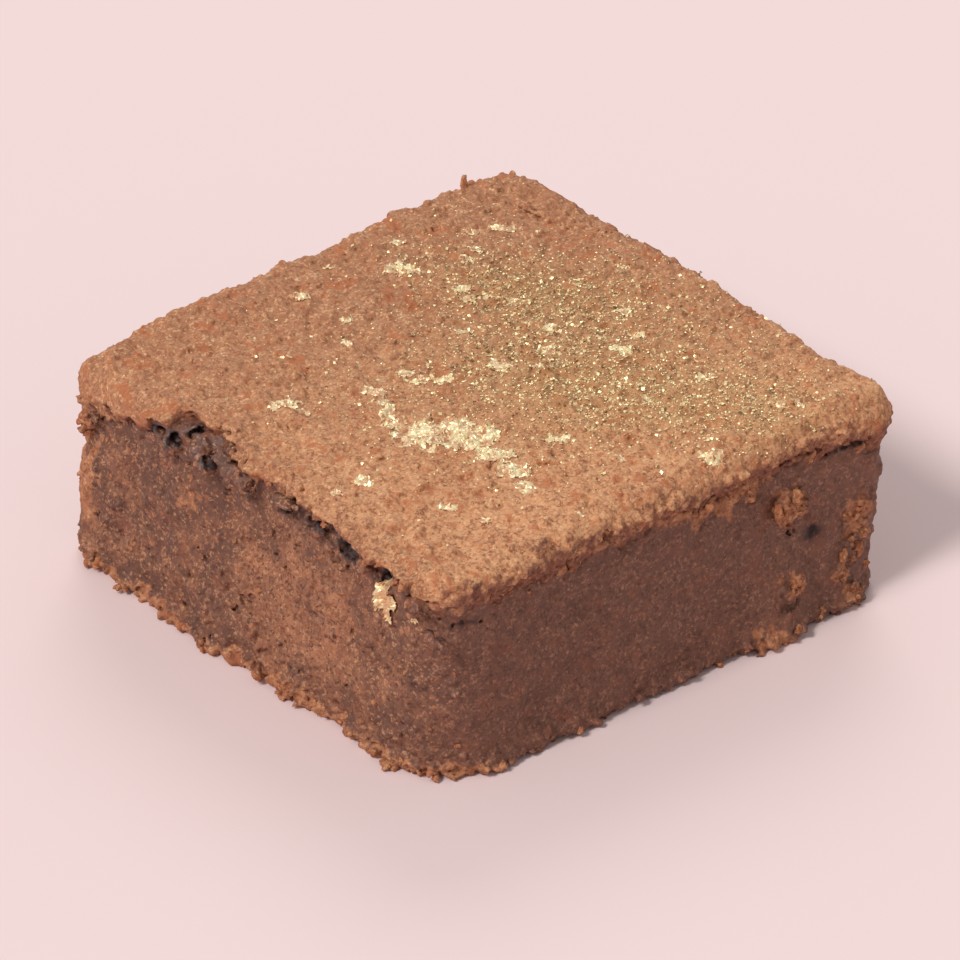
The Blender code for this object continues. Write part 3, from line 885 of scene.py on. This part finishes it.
# The finest of it only tints the crust, where the drifts are thick
at = points_of(crust_piece.data)
thick = np.zeros(len(at))
for x, y, along, across, turn, number in drifts[:-1]:
    c, s = math.cos(math.radians(turn)), math.sin(math.radians(turn))
    a, b = c * (at[:, 0] - x) + s * (at[:, 1] - y), c * (at[:, 1] - y) - s * (at[:, 0] - x)
    thick += number / (along * across) * np.exp(-((a / along) ** 2 + (b / across) ** 2) / 2)
paint(crust_piece.data, "dusted", thick / 90 * smoothstep(at[:, 2], height - 2.5, height - 1.5))
gold_dust = bpy.data.objects.new("gold_dust", dust_mesh)
bpy.context.scene.collection.objects.link(gold_dust)
dust_finish, tree, shader = new_material("gold dust", 0.35)
# A painted dark reflection on some flakes, pale gold on the rest.
colour = mixed(tree, ramp(tree, value_of(tree, "painted_dark_reflection"), 0.3, 0.9), srgb(252, 230, 172), srgb(126, 98, 58))
tree.links.new(colour, shader.inputs["Base Color"])
shader.inputs["Metallic"].default_value = 0.4
dust_mesh.materials.append(dust_finish)
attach(gold_dust, "root")


# ---------------------------------------------------------------- the table, the lamps and the camera
# A plain pale table under an even pale sky, a large soft lamp to the left and a weaker one behind.

table_mesh = bpy.data.meshes.new("table")
reach = 1.5
sheet = [(-reach, -reach, 0), (reach, -reach, 0), (reach, reach, 0), (-reach, reach, 0)]
table_mesh.from_pydata(sheet, [], [(0, 1, 2, 3)])
table = bpy.data.objects.new("table", table_mesh)
bpy.context.scene.collection.objects.link(table)
table_finish, tree, shader = new_material("table", 0.9)
shader.inputs["Base Color"].default_value = srgb(238, 214, 212)
table_mesh.materials.append(table_finish)

world = bpy.data.worlds.new("sky")
world.use_nodes = True
world.node_tree.nodes["Background"].inputs["Color"].default_value = (1, 1, 1, 1)
world.node_tree.nodes["Background"].inputs["Strength"].default_value = 0.42
bpy.context.scene.world = world


def sun(name, towards, strength, softness):
    lamp_data = bpy.data.lights.new(name, "SUN")
    lamp_data.energy = strength
    lamp_data.angle = math.radians(softness)
    lamp = bpy.data.objects.new(name, lamp_data)
    lamp.rotation_mode = "QUATERNION"
    lamp.rotation_quaternion = Vector(towards).to_track_quat("Z", "Y")
    bpy.context.scene.collection.objects.link(lamp)


sun("key lamp", (0.05, -0.66, 0.72), 2.05, 16)
sun("back lamp", (-0.55, 0.5, 0.62), 0.7, 30)

azimuth, elevation, distance = math.radians(49.9), math.radians(32.4), 1.177
back = Vector((math.sin(azimuth) * math.cos(elevation), -math.cos(azimuth) * math.cos(elevation), math.sin(elevation)))
right = Vector((math.cos(azimuth), math.sin(azimuth), 0))
up = back.cross(right)
camera_data = bpy.data.cameras.new("camera")
camera_data.lens = 400
camera_data.clip_start = 0.05
camera = bpy.data.objects.new("camera", camera_data)
aim = Vector((0, 0, height / 2 * MM)) + right * 0.15 * MM - up * 1.3 * MM
camera.location = aim + back * distance
camera.rotation_mode = "QUATERNION"
camera.rotation_quaternion = back.to_track_quat("Z", "Y")
bpy.context.scene.collection.objects.link(camera)
bpy.context.scene.camera = camera
bpy.context.scene.view_settings.view_transform = "Standard"

bpy.context.view_layer.update()
